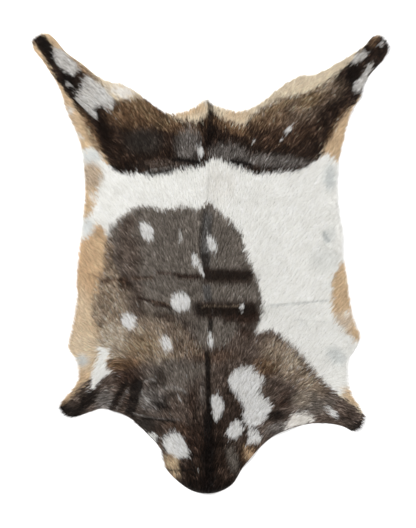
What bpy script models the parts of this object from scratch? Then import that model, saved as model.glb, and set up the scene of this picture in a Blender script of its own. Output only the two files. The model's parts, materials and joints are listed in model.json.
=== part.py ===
"""A goatskin with its hair on, laid flat with the hair side up.

The skin is one closed sheet of leather and laid coat. Its outline comes from the table RIM,
its thickness from a few sizes, and the way it lies from the tables FOLDS and WAVES.
Sizes are in millimetres in the tables and in metres in the mesh. The rump and the hind legs
point along +Y, the neck along -Y, and the underside rests on z = 0.
"""

from collections import namedtuple
from math import cos, radians, sin, tau

import bmesh
import bpy
import numpy as np
from mathutils.geometry import delaunay_2d_cdt

MM = 0.001

# The sheet is leather and the coat that lies on it, which thins out towards the rim.
FULL_THICKNESS = 5.0
RIM_THICKNESS = 2.2
RIM_SLOPE = 30.0

# How fine the mesh is: the distance between its points on the rim, along the folds and in
# the field, and the least share of it at which a point is still added. The height of a fold
# is taken from its curve in steps of LIFT_STEP.
RIM_STEP = 9.5
FOLD_STEP = 9.0
LIFT_STEP = 3.0
FIELD_STEP = 15.0
CLOSEST = 0.62
FOLD_LINES = (0, -0.5, 0.5, -1, 1)

# The line of the back, which wanders a little to the left at the loin.
SPINE_X = -4.5
SPINE_BEND = -10.0
SPINE_BEND_Y = 20.0
SPINE_BEND_REACH = 60.0

# The outline, clockwise from the left hind hoof, seen with the hair side up.
# Columns: x, y.
RIM = {
    "left hind leg": (
        (-358, 438), (-350, 452), (-331, 460), (-315, 453), (-288, 422),
        (-255, 398), (-216, 368), (-170, 355), (-117, 319),
    ),
    "rump": (
        (-90, 301), (-72, 298), (-42, 306), (-26, 315), (-4, 327), (3, 318),
        (50, 303), (74, 306), (106, 324), (138, 350),
    ),
    "right hind leg": (
        (166, 368), (184, 375), (203, 375), (254, 400), (310, 436), (324, 453),
        (342, 454), (358, 430), (348, 408), (329, 387), (308, 357), (296, 322),
        (285, 309),
    ),
    "right flank": (
        (274, 276), (256, 196), (254, 148), (257, 106), (264, 62),
        (264, 30), (274, -40), (286, -114), (299, -150), (292, -170),
    ),
    "right foreleg": (
        (276, -196), (274, -222), (281, -258), (309, -306), (304, -324),
        (290, -338), (264, -327), (224, -321), (188, -324),
    ),
    "neck": (
        (125, -348), (68, -406), (44, -443), (14, -459), (-22, -460),
        (-46, -451), (-88, -412), (-99, -374), (-128, -340),
    ),
    "left foreleg": (
        (-166, -307), (-192, -297), (-218, -292), (-282, -309), (-302, -290),
        (-300, -280), (-272, -247), (-263, -224), (-268, -194),
    ),
    "left flank": (
        (-283, -170), (-278, -140), (-267, -78), (-267, -38), (-259, 50),
        (-250, 150), (-260, 236), (-270, 266), (-287, 304), (-303, 352),
        (-334, 400),
    ),
}

# Folds that the skin keeps from the way it was stored. Each runs along a curve through
# three places, is as wide as reach to each side, and dies out at its open ends over FADE
# of its length.
FADE = 0.35
Fold = namedtuple("Fold", "name x1 y1 x2 y2 x3 y3 reach height open_start open_end")
FOLDS = (
    Fold("tail pinch", 1, 345, -1, 290, -5, 232, 15, 10.5, False, True),
    Fold("loin fold", -258, -28, -20, -26, 104, -18, 26, 4.2, True, True),
    Fold("rib fold left", -165, -72, -110, -84, -55, -86, 20, 3.6, True, True),
    Fold("rib fold right", -30, -86, 60, -84, 262, -80, 24, 4.6, True, True),
    Fold("rump crease left", -100, 203, -55, 202, -8, 207, 17, 3.0, True, True),
    Fold("rump crease right", 28, 203, 60, 199, 88, 193, 15, 2.6, True, True),
    Fold("right side crease", 156, -112, 205, -118, 256, -122, 14, 2.4, True, True),
    Fold("neck crease", -92, -410, -55, -412, -20, -404, 14, 3.0, True, True),
    Fold("left foreleg long", -150, -226, -186, -262, -196, -302, 15, 3.8, True, False),
    Fold("left foreleg outer", -228, -196, -226, -240, -238, -282, 17, 3.2, True, True),
    Fold("throat line left", -145, -301, -105, -300, -60, -306, 16, 2.8, True, True),
    Fold("right foreleg long", 196, -226, 240, -262, 262, -300, 17, 3.4, True, True),
    Fold("flank dimple", 222, 52, 236, 34, 262, 18, 15, 3.6, True, False),
    Fold("flank swell", 238, 154, 246, 118, 240, 84, 15, 3.0, True, True),
    Fold("left flank arc", -262, 52, -238, 66, -224, 80, 13, 3.0, True, True),
    Fold("left thigh", -296, 330, -262, 330, -226, 300, 20, 3.0, False, True),
    Fold("right thigh", 290, 300, 262, 318, 232, 304, 20, 3.0, False, True),
    Fold("left shank", -330, 436, -290, 398, -240, 362, 17, 3.0, True, True),
    Fold("right shank", 330, 428, 286, 392, 240, 362, 17, 3.0, True, True),
)

# The back itself stands up a little all along.
SPINE_HEIGHT = 3.6
SPINE_REACH = 24.0

# The coat is never quite even: long low swells that cross each other.
Swell = namedtuple("Swell", "length direction height")
SWELLS = (
    Swell(97, 20, 0.22),
    Swell(71, 74, 0.20),
    Swell(53, 131, 0.16),
)

# Where the rim lifts off the floor in short waves.
Wave = namedtuple("Wave", "name x y reach lift")
WAVES = (
    Wave("left hind hoof", -350, 448, 42, 5.5),
    Wave("left shin", -300, 372, 34, 4.0),
    Wave("left buttock", -130, 334, 34, 3.5),
    Wave("right buttock", 122, 342, 34, 3.5),
    Wave("right hind hoof", 350, 446, 42, 6.0),
    Wave("right shin", 304, 344, 32, 4.0),
    Wave("right loin", 256, 176, 36, 4.0),
    Wave("right waist", 268, 44, 36, 6.0),
    Wave("right ribs", 290, -118, 42, 5.0),
    Wave("right elbow", 274, -214, 34, 4.0),
    Wave("right fore hoof", 306, -322, 36, 5.0),
    Wave("right throat", 150, -334, 34, 3.5),
    Wave("neck right", 84, -392, 30, 4.0),
    Wave("neck left", -98, -392, 30, 4.0),
    Wave("left throat", -178, -300, 30, 3.5),
    Wave("left fore hoof", -300, -292, 36, 5.0),
    Wave("left elbow", -264, -212, 32, 4.0),
    Wave("left ribs", -276, -112, 36, 5.0),
    Wave("left waist", -260, 20, 34, 4.5),
    Wave("left loin", -252, 170, 34, 4.0),
)

COAT_COLOUR = (0.21, 0.18, 0.16, 1.0)
COAT_ROUGHNESS = 0.72
SHARP_ANGLE = radians(50)


def smooth_loop(corners, step):
    """Points about one step apart on a smooth closed curve through the corners."""
    points = []
    count = len(corners)
    for i in range(count):
        before, start = corners[i - 1], corners[i]
        end, after = corners[(i + 1) % count], corners[(i + 2) % count]
        t1 = np.linalg.norm(start - before) ** 0.5
        t2 = t1 + np.linalg.norm(end - start) ** 0.5
        t3 = t2 + np.linalg.norm(after - end) ** 0.5
        pieces = max(1, round(np.linalg.norm(end - start) / step))
        for t in np.linspace(t1, t2, pieces, endpoint=False):
            near_start = before + (start - before) * t / t1
            middle = start + (end - start) * (t - t1) / (t2 - t1)
            near_end = end + (after - end) * (t - t2) / (t3 - t2)
            first = near_start + (middle - near_start) * t / t2
            second = middle + (near_end - middle) * (t - t1) / (t3 - t1)
            points.append(first + (second - first) * (t - t1) / (t2 - t1))
    return np.array(points)


def rim_loop():
    """The outline as a closed loop, with the middle of its box at the origin."""
    corners = np.array([place for section in RIM.values() for place in section], float)
    loop = smooth_loop(corners, RIM_STEP)
    return loop - (loop.min(0) + loop.max(0)) / 2


def rim_distance(places, loop):
    """How far each place is from the nearest side of the loop."""
    nearest = np.full(len(places), np.inf)
    for start, side in zip(loop, np.roll(loop, -1, axis=0) - loop):
        from_start = places - start
        along = np.clip(from_start @ side / (side @ side), 0, 1)
        apart = from_start - along[:, None] * side
        nearest = np.minimum(nearest, np.hypot(apart[:, 0], apart[:, 1]))
    return nearest


def inside(places, loop):
    """True for each place that the loop surrounds."""
    x, y = places.T
    odd = np.zeros(len(places), bool)
    for (x1, y1), (x2, y2) in zip(loop, np.roll(loop, -1, axis=0)):
        if y1 == y2:
            continue
        crosses = (y1 > y) != (y2 > y)
        odd ^= crosses & (x < (x2 - x1) * (y - y1) / (y2 - y1) + x1)
    return odd


def bump(share):
    """1 in the middle and 0 from a share of 1 outwards, round on top and at its foot."""
    return np.clip(1 - share**2, 0, 1) ** 2


def ease(share):
    """0 to 1 as the share goes from 0 to 1, level at both ends."""
    share = np.clip(share, 0, 1)
    return share * share * (3 - 2 * share)


def fold_path(fold, step):
    """Points along a fold's curve, and for each its share of the way."""
    first = np.array((fold.x1, fold.y1), float)
    through = np.array((fold.x2, fold.y2), float)
    last = np.array((fold.x3, fold.y3), float)
    pull = 2 * through - (first + last) / 2
    length = np.linalg.norm(through - first) + np.linalg.norm(last - through)
    share = np.linspace(0, 1, max(3, round(length / step)) + 1)[:, None]
    path = first * (1 - share) ** 2 + 2 * pull * share * (1 - share) + last * share**2
    return path, share[:, 0]


def spine_x(y):
    return SPINE_X + SPINE_BEND * np.exp(-(((y - SPINE_BEND_Y) / SPINE_BEND_REACH) ** 2))


def fold_lift(fold, x, y):
    """How high one fold raises the skin at each place."""
    path, share = fold_path(fold, LIFT_STEP)
    places = np.stack((x, y), 1)
    nearest = np.full(len(places), np.inf)
    where = np.zeros(len(places))
    for start, end, share_1, share_2 in zip(path, path[1:], share, share[1:]):
        side = end - start
        along = np.clip((places - start) @ side / (side @ side), 0, 1)
        apart = np.linalg.norm(places - start - along[:, None] * side, axis=1)
        closer = apart < nearest
        nearest = np.where(closer, apart, nearest)
        where = np.where(closer, share_1 + along * (share_2 - share_1), where)
    fade = np.ones(len(places))
    if fold.open_start:
        fade *= ease(where / FADE)
    if fold.open_end:
        fade *= ease((1 - where) / FADE)
    return fold.height * fade * bump(nearest / fold.reach)


def skin_lift(x, y):
    """Height of the underside over the floor."""
    lift = SPINE_HEIGHT * bump((x - spine_x(y)) / SPINE_REACH)
    for fold in FOLDS:
        lift = np.maximum(lift, fold_lift(fold, x, y))
    for wave in WAVES:
        away = np.hypot(x - wave.x, y - wave.y)
        lift = np.maximum(lift, wave.lift * bump(away / wave.reach))
    return lift


def skin_thickness(x, y, to_rim):
    """Leather and coat together: thin at the rim, full and a little uneven in the field."""
    full = np.full(len(x), FULL_THICKNESS)
    for swell in SWELLS:
        turn = radians(swell.direction)
        along = x * cos(turn) + y * sin(turn)
        full += swell.height * np.sin(tau * along / swell.length)
    return RIM_THICKNESS + (full - RIM_THICKNESS) * ease(to_rim / RIM_SLOPE)


def field_places(loop):
    """Places inside the outline for the mesh: along the folds first, then an even field."""
    along_folds = []
    for fold in FOLDS:
        path, _ = fold_path(fold, FOLD_STEP)
        steps = np.gradient(path, axis=0)
        across = np.stack((-steps[:, 1], steps[:, 0]), 1)
        across /= np.linalg.norm(across, axis=1)[:, None]
        for part in FOLD_LINES:
            along_folds.append(path + across * part * fold.reach)
    spine_y = np.arange(loop[:, 1].min(), loop[:, 1].max(), FIELD_STEP)
    for part in FOLD_LINES:
        spine = spine_x(spine_y) + part * SPINE_REACH
        along_folds.append(np.stack((spine, spine_y), 1))
    rows = np.arange(loop[:, 1].min(), loop[:, 1].max(), FIELD_STEP * 3**0.5 / 2)
    field = []
    for number, row in enumerate(rows):
        first = loop[:, 0].min() + FIELD_STEP / 2 * (number % 2)
        line = np.arange(first, loop[:, 0].max(), FIELD_STEP)
        field.append(np.stack((line, np.full(len(line), row)), 1))
    sides = np.roll(loop, -1, axis=0) - np.roll(loop, 1, axis=0)
    inward = np.stack((sides[:, 1], -sides[:, 0]), 1)
    inward /= np.linalg.norm(inward, axis=1)[:, None]
    wanted = (
        (np.concatenate(along_folds), FOLD_STEP),
        (loop + inward * RIM_STEP, RIM_STEP),
        (np.concatenate(field), FIELD_STEP),
    )
    kept = np.empty((0, 2))
    for places, step in wanted:
        places = places[inside(places, loop)]
        places = places[rim_distance(places, loop) > RIM_STEP * CLOSEST]
        for place in places:
            if not len(kept) or np.hypot(*(kept - place).T).min() > step * CLOSEST:
                kept = np.vstack((kept, place))
    return kept


def skin_mesh():
    """The closed mesh: a top, an underside and the rim's narrow wall between them."""
    loop = rim_loop()
    flat = np.vstack((loop, field_places(loop)))
    anticlockwise = list(range(len(loop)))[::-1]
    places, _, triangles, *_ = delaunay_2d_cdt(
        [tuple(place) for place in flat], [], [anticlockwise], 1, 1e-6
    )
    places = np.array([tuple(place) for place in places])
    x, y = places.T
    low = skin_lift(x, y)
    high = low + skin_thickness(x, y, rim_distance(places, loop))
    bm = bmesh.new()
    under = [bm.verts.new(place) for place in np.stack((x, y, low), 1) * MM]
    over = [bm.verts.new(place) for place in np.stack((x, y, high), 1) * MM]
    sides = set()
    for a, b, c in triangles:
        bm.faces.new((over[a], over[b], over[c]))
        bm.faces.new((under[c], under[b], under[a]))
        sides |= {(a, b), (b, c), (c, a)}
    for a, b in sorted(sides):
        if (b, a) not in sides:
            bm.faces.new((over[b], over[a], under[a], under[b]))
    mesh = bpy.data.meshes.new("goatskin")
    bm.to_mesh(mesh)
    bm.free()
    mesh.shade_smooth()
    mesh.set_sharp_from_angle(angle=SHARP_ANGLE)
    return mesh


def coat_material():
    material = bpy.data.materials.new("coat")
    material.use_nodes = True
    shader = material.node_tree.nodes["Principled BSDF"]
    shader.inputs["Base Color"].default_value = COAT_COLOUR
    shader.inputs["Roughness"].default_value = COAT_ROUGHNESS
    shader.inputs["Metallic"].default_value = 0.0
    return material


def clear_scene():
    for found in list(bpy.data.objects):
        bpy.data.objects.remove(found, do_unlink=True)


def build():
    clear_scene()
    goatskin = bpy.data.objects.new("goatskin", skin_mesh())
    goatskin.data.materials.append(coat_material())
    bpy.context.scene.collection.objects.link(goatskin)


build()
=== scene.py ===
# %% [markdown]
# # A goatskin with its hair on
#
# The real object is one tanned skin. The hide is about a millimetre of soft leather, pale and
# suede-like underneath, and the short coat of the goat still grows out of the other side.
# It lies flat on the floor with the hair side up, rump and hind legs at the top of the
# picture, neck at the bottom. This lesson makes the hide as a thin sheet on the packed
# solid's own folds, plans the coat as a map of lay, length and colour, and then grows
# some two hundred thousand small tapered tufts of hair with Geometry Nodes.

# %% The frame, straight after loading
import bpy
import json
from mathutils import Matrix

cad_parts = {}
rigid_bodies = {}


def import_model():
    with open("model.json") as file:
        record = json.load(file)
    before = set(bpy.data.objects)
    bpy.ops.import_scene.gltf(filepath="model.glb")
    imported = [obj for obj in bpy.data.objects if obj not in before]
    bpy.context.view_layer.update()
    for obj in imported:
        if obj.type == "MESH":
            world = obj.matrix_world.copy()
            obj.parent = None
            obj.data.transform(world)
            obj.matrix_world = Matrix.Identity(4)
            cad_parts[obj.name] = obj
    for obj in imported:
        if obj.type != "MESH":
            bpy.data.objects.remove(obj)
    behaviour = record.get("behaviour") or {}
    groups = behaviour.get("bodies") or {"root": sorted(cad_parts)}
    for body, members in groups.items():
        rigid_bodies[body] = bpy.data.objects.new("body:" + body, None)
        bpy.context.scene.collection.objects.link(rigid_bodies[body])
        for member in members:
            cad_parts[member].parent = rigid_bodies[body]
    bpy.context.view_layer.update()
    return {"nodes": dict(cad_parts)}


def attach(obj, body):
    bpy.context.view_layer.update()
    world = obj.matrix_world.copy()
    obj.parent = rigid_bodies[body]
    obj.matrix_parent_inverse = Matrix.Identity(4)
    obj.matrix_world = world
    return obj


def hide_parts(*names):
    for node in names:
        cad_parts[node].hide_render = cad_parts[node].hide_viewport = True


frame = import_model()

import json
from collections import namedtuple

import bmesh
import bpy
import numpy as np
from mathutils import Vector
from mathutils.bvhtree import BVHTree
from mathutils.geometry import delaunay_2d_cdt
from mathutils.kdtree import KDTree

MM = 0.001
solid = frame["nodes"]["goatskin"]

# %% [markdown]
# ## Camera, light and floor
#
# The picture is taken from straight above, so the camera looks down with the rump at the
# top. A long lens keeps the legs from leaning. The light is a plain studio: two wide soft
# lamps that stand to either side, a soft sky, and a pale floor.

# %% Camera above the hide
PICTURE_HEIGHT = 1056 * MM
PICTURE_MIDDLE = (-4.5 * MM, -1.5 * MM)
LENS = 85.0
LONG_SIDE = 36.0

camera_data = bpy.data.cameras.new("camera")
camera_data.lens = LENS
camera_data.sensor_width = LONG_SIDE
camera = bpy.data.objects.new("camera", camera_data)
camera.location = (*PICTURE_MIDDLE, PICTURE_HEIGHT * LENS / LONG_SIDE)
bpy.context.scene.collection.objects.link(camera)
bpy.context.scene.camera = camera
print("camera height:", round(camera.location.z, 3), "m")

# %% Soft lamps, sky and floor
Lamp = namedtuple("Lamp", "name x y z size power")
LAMPS = (
    Lamp("key", -1.15, 1.25, 1.9, 1.2, 66.0),
    Lamp("fill", 1.35, -0.65, 1.8, 1.5, 26.0),
)
SKY_COLOUR = (1.0, 1.0, 1.0, 1.0)
SKY_STRENGTH = 0.42
FLOOR_SIZE = 14.0
FLOOR_COLOUR = (0.93, 0.93, 0.93, 1.0)
FLOOR_ROUGHNESS = 0.9
FLOOR_DROP = 0.3 * MM


def add_lamp(lamp):
    data = bpy.data.lights.new(lamp.name, "AREA")
    data.size = lamp.size
    data.energy = lamp.power
    made = bpy.data.objects.new(lamp.name, data)
    made.location = (lamp.x, lamp.y, lamp.z)
    made.rotation_euler = (-Vector(made.location)).to_track_quat("-Z", "Y").to_euler()
    bpy.context.scene.collection.objects.link(made)


def new_material(name):
    """A material, its node tree and the inputs of its Principled shader."""
    material = bpy.data.materials.new(name)
    material.use_nodes = True
    return material, material.node_tree, material.node_tree.nodes["Principled BSDF"].inputs


for lamp in LAMPS:
    add_lamp(lamp)

sky = bpy.data.worlds.new("sky")
sky.use_nodes = True
sky_inputs = sky.node_tree.nodes["Background"].inputs
sky_inputs["Color"].default_value = SKY_COLOUR
sky_inputs["Strength"].default_value = SKY_STRENGTH
bpy.context.scene.world = sky
bpy.context.scene.view_settings.view_transform = "Standard"

bpy.ops.mesh.primitive_plane_add(size=FLOOR_SIZE, location=(0, 0, -FLOOR_DROP))
floor = bpy.context.object
floor.name = "floor"
floor_paint, _, floor_inputs = new_material("pale floor")
floor_inputs["Base Color"].default_value = FLOOR_COLOUR
floor_inputs["Roughness"].default_value = FLOOR_ROUGHNESS
floor.data.materials.append(floor_paint)
print("lamps:", [lamp.name for lamp in LAMPS])

# %% [markdown]
# ## Reading the solid
#
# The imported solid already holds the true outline, the folds and the waves of the rim, so the
# hide is worked out from it and not measured twice. Its mesh is loose triangles, so a copy
# is merged first. The narrow upright faces are the rim wall, and walking along their upper
# edges gives the outline as one loop.

# %% Outline of the solid
WELD = 0.01 * MM
UPRIGHT = 0.3


def merged_copy(piece):
    bm = bmesh.new()
    bm.from_mesh(piece.data)
    bmesh.ops.remove_doubles(bm, verts=bm.verts, dist=WELD)
    bm.normal_update()
    return bm


def rim_of(bm):
    """The upper edge of the rim wall, as an anticlockwise loop of places in millimetres."""
    after = {}
    for edge in bm.edges:
        tops = [face for face in edge.link_faces if face.normal.z > UPRIGHT]
        walls = [face for face in edge.link_faces if abs(face.normal.z) <= UPRIGHT]
        if len(tops) == 1 and len(walls) == 1:
            loop = next(loop for loop in tops[0].loops if loop.edge == edge)
            after[loop.vert] = loop.link_loop_next.vert
    start = vert = next(iter(after))
    walk = []
    while not walk or vert != start:
        walk.append((vert.co.x, vert.co.y))
        vert = after[vert]
    return np.array(walk) / MM


copy = merged_copy(solid)
rim = rim_of(copy)
solid_tree = BVHTree.FromBMesh(copy)
copy.free()
print("rim:", len(rim), "points")

# %% [markdown]
# ## A map of heights
#
# The leather rests on the solid's underside, and the coat fills the rest up to its top. Both
# heights are read once on a square grid, with rays from below and from above, and softened,
# because leather has no facets. After that any place can look up its height and its slope.
# Squares beyond the rim take the value of their neighbours, so the fringe has a floor too.

# %% Heights on a grid
GRID_STEP = 2.5
GRID_MARGIN = 30.0
RAY_START = 0.5
SOFTENING = 9
LEATHER = 1.2
# Keeps the last place of the grid inside its last square.
LAST_SQUARE = 1.001


def blend(values, i, j, up, across):
    """Straight mixing between the four corners of grid squares."""
    low = values[i, j] * (1 - across) + values[i, j + 1] * across
    high = values[i + 1, j] * (1 - across) + values[i + 1, j + 1] * across
    return low * (1 - up) + high * up


class Map:
    """Values on a square grid over the hide, in millimetres."""

    def __init__(self, values):
        self.values = values

    def at(self, x, y):
        column = np.clip((x - grid_x[0]) / GRID_STEP, 0, len(grid_x) - LAST_SQUARE)
        row = np.clip((y - grid_y[0]) / GRID_STEP, 0, len(grid_y) - LAST_SQUARE)
        i, j = row.astype(int), column.astype(int)
        return blend(self.values, i, j, row - i, column - j)


def neighbours(padded):
    """The four squares beside each square of a grid that has one row more on every side."""
    return padded[:-2, 1:-1], padded[2:, 1:-1], padded[1:-1, :-2], padded[1:-1, 2:]


def soften(values, rounds):
    """Mixes each square half and half with the mean of its neighbours, again and again."""
    for _ in range(rounds):
        padded = np.pad(values, 1, mode="edge")
        values = sum(neighbours(padded)) / 8 + padded[1:-1, 1:-1] / 2
    return values


def spread(values):
    """Fills the squares that no ray has hit, from the rim outwards."""
    while np.isnan(values).any():
        around = neighbours(np.pad(values, 1, constant_values=np.nan))
        known = np.sum([~np.isnan(side) for side in around], axis=0)
        total = np.sum([np.nan_to_num(side) for side in around], axis=0)
        values = np.where(np.isnan(values) & (known > 0), total / np.maximum(known, 1), values)
    return values


def cast(x, y, way):
    place = Vector((x * MM, y * MM, -way * RAY_START))
    hit = solid_tree.ray_cast(place, Vector((0, 0, way)))[0]
    return hit.z / MM if hit else np.nan


grid_x = np.arange(rim[:, 0].min() - GRID_MARGIN, rim[:, 0].max() + GRID_MARGIN, GRID_STEP)
grid_y = np.arange(rim[:, 1].min() - GRID_MARGIN, rim[:, 1].max() + GRID_MARGIN, GRID_STEP)
under_side = spread(np.array([[cast(x, y, 1) for x in grid_x] for y in grid_y]))
upper_side = spread(np.array([[cast(x, y, -1) for x in grid_x] for y in grid_y]))
under = Map(soften(under_side, SOFTENING))
coat_depth = Map(soften(upper_side - under_side, SOFTENING) - LEATHER)
print("grid:", under.values.shape, "lift up to", round(under.values.max(), 1), "mm, coat",
      round(coat_depth.values.min(), 1), "to", round(coat_depth.values.max(), 1), "mm")

# %% [markdown]
# ## Helpers for shapes in the plane
#
# The coat is planned in millimetres, in the plane, as seen from above. A few helpers do the
# work: a smooth closed curve through its corners, the distance of many places from such a
# curve, counted positive inside it, a soft step, and a smooth noise with its own seed.

# %% Curves, distances and noise
CURVE_STEP = 5.0
FAR = 1000.0
NOISE_SQUARES = 512
PLACE_STRAY = 0.42


def smooth_loop(corners, step=CURVE_STEP):
    """Places about one step apart on a smooth closed curve through the corners."""
    corners = np.array(corners, float)
    count = len(corners)
    points = []
    for i in range(count):
        before, start = corners[i - 1], corners[i]
        end, after = corners[(i + 1) % count], corners[(i + 2) % count]
        t1 = np.linalg.norm(start - before) ** 0.5
        t2 = t1 + np.linalg.norm(end - start) ** 0.5
        t3 = t2 + np.linalg.norm(after - end) ** 0.5
        pieces = max(1, round(np.linalg.norm(end - start) / step))
        for t in np.linspace(t1, t2, pieces, endpoint=False):
            near_start = before + (start - before) * t / t1
            middle = start + (end - start) * (t - t1) / (t2 - t1)
            near_end = end + (after - end) * (t - t2) / (t3 - t2)
            first = near_start + (middle - near_start) * t / t2
            second = middle + (near_end - middle) * (t - t1) / (t3 - t1)
            points.append(first + (second - first) * (t - t1) / (t2 - t1))
    return np.array(points)


def from_segment(x, y, start, end):
    """Squared distance to a straight stretch, and how far along it the nearest place is."""
    (x1, y1), (dx, dy) = start, end - start
    along = np.clip(((x - x1) * dx + (y - y1) * dy) / (dx * dx + dy * dy), 0, 1)
    return (x - x1 - along * dx) ** 2 + (y - y1 - along * dy) ** 2, along


def near_line(x, y, line, reach):
    """Numbers of the places in the box around a line, widened by reach."""
    low, high = line.min(0) - reach, line.max(0) + reach
    return np.flatnonzero((x > low[0]) & (x < high[0]) & (y > low[1]) & (y < high[1]))


def distance_inside(x, y, loop, reach=FAR):
    """Distance of each place to the loop, positive inside, exact only within reach of it."""
    found = np.full(len(x), -reach)
    near = near_line(x, y, loop, reach)
    nx, ny = x[near], y[near]
    closest = np.full(len(near), np.inf)
    odd = np.zeros(len(near), bool)
    for start, end in zip(loop, np.roll(loop, -1, axis=0)):
        closest = np.minimum(closest, from_segment(nx, ny, start, end)[0])
        if start[1] != end[1]:
            slant = (end[0] - start[0]) / (end[1] - start[1])
            odd ^= ((start[1] > ny) != (end[1] > ny)) & (nx < start[0] + slant * (ny - start[1]))
    found[near] = np.sqrt(closest) * np.where(odd, 1, -1)
    return found


def ease(share):
    """A soft step: 0 up to a share of 0, 1 from a share of 1."""
    share = np.clip(share, 0, 1)
    return share * share * (3 - 2 * share)


def noise(x, y, size, seed):
    """Smooth noise from -1 to 1 whose swells are about size across."""
    values = np.random.default_rng(seed).uniform(-1, 1, (NOISE_SQUARES, NOISE_SQUARES))
    column, row = x / size + NOISE_SQUARES / 2, y / size + NOISE_SQUARES / 2
    j, i = np.floor(column).astype(int), np.floor(row).astype(int)
    return blend(values, i, j, ease(row - i), ease(column - j))


def hex_places(pitch, rng):
    """Places about one pitch apart over the whole box of the rim, moved a little at random."""
    low, high = rim.min(0), rim.max(0)
    rows = np.arange(low[1], high[1], pitch * 3**0.5 / 2)
    columns = np.arange(low[0], high[0], pitch)
    x, y = np.meshgrid(columns, rows)
    x = x + (np.arange(len(rows)) % 2)[:, None] * pitch / 2
    places = np.column_stack((x.ravel(), y.ravel()))
    return places + rng.uniform(-PLACE_STRAY, PLACE_STRAY, places.shape) * pitch


rim_room = distance_inside(np.zeros(1), np.zeros(1), rim)[0]
print("the rim is", round(rim_room), "mm from the middle")

# %% [markdown]
# ## How the hair lies
#
# On a goat the hair lies back from the neck to the tail and, away from the back, down the
# sides. On the flat skin that makes a fan: straight up the picture along the back, and more
# and more outwards towards the flanks. On the legs it runs along the leg to the hoof. One
# smooth rule gives the fan, and a short table of places turns it on the legs and the neck.

# %% Lay field
SPINE_X = -4.5
SPINE_BEND = -10.0
SPINE_BEND_Y = 20.0
SPINE_BEND_REACH = 60.0
FAN_ANGLE = 46.0
FAN_REACH = 110.0
TURN_WEIGHT = 4.0
WANDER_ANGLE = 7.0
WANDER_SIZE = 48.0
WANDER_SEED = 11


def table_of(kind, *rows):
    """A table's rows in their order, with their columns named as the kind says."""
    return tuple(kind(*row) for row in rows)


# Columns: name, middle, how far it works, and the way the hair points, in degrees from the
# tail's way towards the right of the picture.
Turn = namedtuple("Turn", "name x y reach angle")
TURNS = table_of(
    Turn,
    ("left hind hoof", -318, 420, 62, -48),
    ("left hock", -245, 345, 52, -50),
    ("right hind hoof", 318, 410, 62, 46),
    ("right hock", 245, 345, 52, 50),
    ("left fore hoof", -286, -290, 50, -128),
    ("left knee", -236, -262, 38, -118),
    ("left elbow", -222, -212, 32, -150),
    ("right fore hoof", 294, -312, 52, 128),
    ("right knee", 244, -286, 40, 118),
    ("left throat", -150, -308, 34, -62),
    ("right throat", 150, -320, 34, 62),
    ("left neck", -70, -380, 46, -32),
    ("right neck", 58, -390, 46, 20),
)


def spine_at(y):
    return SPINE_X + SPINE_BEND * np.exp(-(((y - SPINE_BEND_Y) / SPINE_BEND_REACH) ** 2))


def lay_at(x, y):
    """Unit direction of the hair in the plane, as two arrays."""
    across = x - spine_at(y)
    fan = np.radians(FAN_ANGLE) * np.sign(across) * (1 - np.exp(-np.abs(across) / FAN_REACH))
    way_x, way_y = np.sin(fan), np.cos(fan)
    for turn in TURNS:
        square = ((x - turn.x) ** 2 + (y - turn.y) ** 2) / turn.reach**2
        weight = TURN_WEIGHT * np.exp(-square)
        way_x = way_x + weight * np.sin(np.radians(turn.angle))
        way_y = way_y + weight * np.cos(np.radians(turn.angle))
    wander = np.radians(WANDER_ANGLE) * noise(x, y, WANDER_SIZE, WANDER_SEED)
    angle = np.arctan2(way_x, way_y) + wander
    return np.sin(angle), np.cos(angle)


flank_lay = lay_at(np.array([-200.0]), np.zeros(1))
print("lay on the left flank:", [round(float(part[0]), 2) for part in flank_lay])

# %% [markdown]
# ## Colours of the coat
#
# A goat's colour is set where each hair is rooted, so the markings are planned as a map. It
# is painted from the bottom up, as on a real canvas: tan all over, brown and black over the
# rump, the white body, the tan of the flanks, the dark saddle and shoulders, and last the
# white patches. Each marking is placed in millimetres. A patch has an outline and an edge,
# which is how wide the strip is in which its hairs mix with their neighbours. A tint is a
# soft oval that only changes the tone.

# %% Tones
# Red, green and blue as they look in daylight, 0 to 255, and how much single hairs differ.
TONES = {
    "white": (226, 225, 219, 0.03),
    "warm white": (218, 212, 203, 0.06),
    "spot white": (230, 228, 223, 0.11),
    "leg white": (192, 188, 182, 0.16),
    "blue white": (193, 196, 194, 0.03),
    # Crease shade grey is painted shade in the folds of the white coat.
    "crease shade grey": (166, 169, 168, 0.04),
    "tan": (198, 170, 137, 0.09),
    "warm tan": (193, 161, 127, 0.10),
    "pale tan": (212, 194, 168, 0.08),
    "grey tan": (176, 158, 138, 0.12),
    "light agouti": (182, 164, 143, 0.22),
    "agouti": (146, 128, 109, 0.32),
    "warm agouti": (122, 100, 75, 0.34),
    "grey brown": (100, 84, 70, 0.38),
    "brown": (97, 74, 54, 0.38),
    "dark brown": (70, 52, 40, 0.42),
    "black brown": (36, 26, 20, 0.46),
    "black": (15, 10, 8, 0.34),
    # The fold tones are partly the dark roots of parted hair and partly painted shade in the folds.
    "fold shade black": (32, 24, 19, 0.20),
    "fold shade red": (44, 30, 23, 0.30),
    "smoke": (46, 41, 37, 0.26),
    "blue grey": (82, 83, 84, 0.24),
    # Silver sheen is painted sheen: dark hair drawn greyer where it lies flat and catches the
    # light.
    "silver sheen": (103, 97, 92, 0.30),
    "saddle": (108, 100, 92, 0.22),
    "dark saddle": (83, 71, 63, 0.34),
    "red black": (45, 31, 24, 0.38),
}


def linear(look):
    """Colour values for the shader from a colour as it looks, 0 to 255."""
    share = np.array(look, float) / 255
    return np.where(share <= 0.04045, share / 12.92, ((share + 0.055) / 1.055) ** 2.4)


def tone(name):
    *look, mottle = TONES[name]
    return np.array([*linear(look), mottle])


print("white hair:", tone("white").round(2))

# %% Rump and hind legs
Patch = namedtuple("Patch", "name tone edge corners")
# Columns: name, tone, middle, half the width and the length, turn in degrees, and strength.
Tint = namedtuple("Tint", "name tone x y wide long turn share")

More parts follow.
